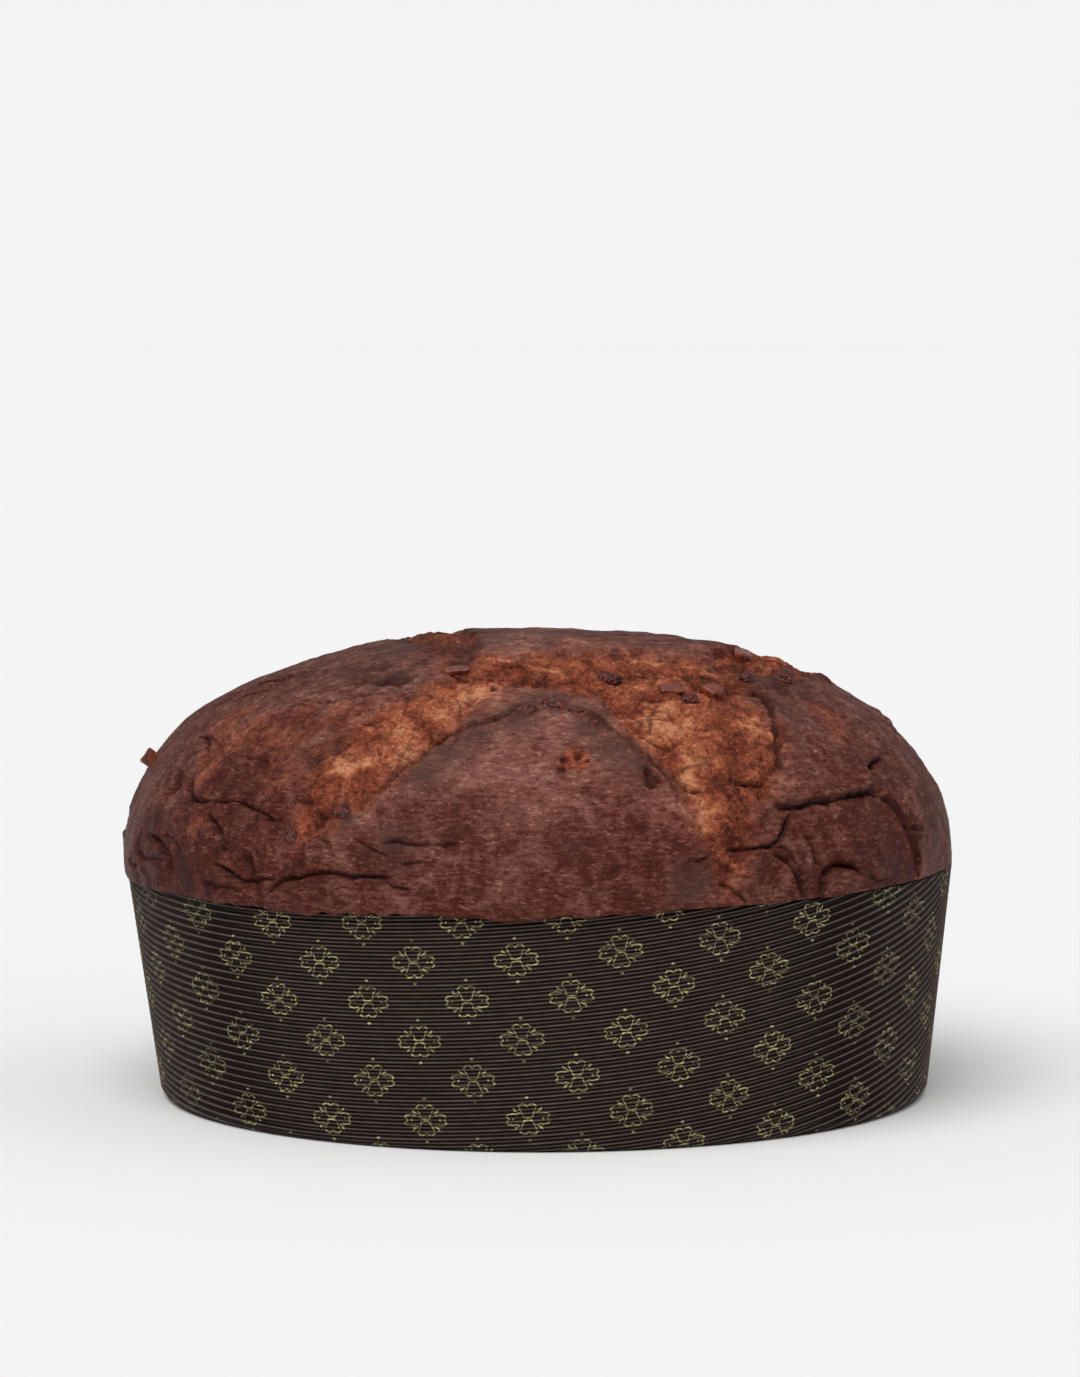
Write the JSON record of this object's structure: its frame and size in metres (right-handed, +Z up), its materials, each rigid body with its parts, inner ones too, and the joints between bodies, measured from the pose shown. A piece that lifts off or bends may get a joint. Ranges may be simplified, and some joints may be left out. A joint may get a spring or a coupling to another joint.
{
  "type": "panettone",
  "caption": "Low round panettone with a cross-cut, deeply browned crust, raisins and candied peel at the crust, standing in its dark printed paper baking mould.",
  "frame": {"origin": "centre of the mould's flat base, on the surface that it stands on", "axes": "+Z up through the loaf; the pictured side faces -Y, and +X is to its right"},
  "size_m": [0.2282, 0.2313, 0.1268],
  "materials": {
    "crust": "browned crust, matt with a faint sheen",
    "paper": "ridged baking paper, faintly glossy",
    "raisin": "wrinkled, baked dark",
    "peel": "candied, moist"
  },
  "bodies": {
    "root": {"loaf": "crust", "mould": "paper", "raisin_tip": "raisin", "raisin_tip_dark": "raisin", "raisin_tip_right": "raisin", "raisin_edge": "raisin", "raisin_crown": "raisin", "raisin_slope": "raisin", "raisin_shoulder": "raisin", "raisin_petal": "raisin", "raisin_high_left": "raisin", "raisin_low_left": "raisin", "raisin_far_left": "raisin", "raisin_skin_left": "raisin", "raisin_ridge_right": "raisin", "raisin_back_left": "raisin", "raisin_back": "raisin", "raisin_back_right": "raisin", "peel_standing": "peel", "peel_block": "peel", "peel_flake": "peel", "peel_shoulder": "peel", "peel_left_edge": "peel", "peel_back_left": "peel", "peel_back_right": "peel"}
  },
  "joints": []
}
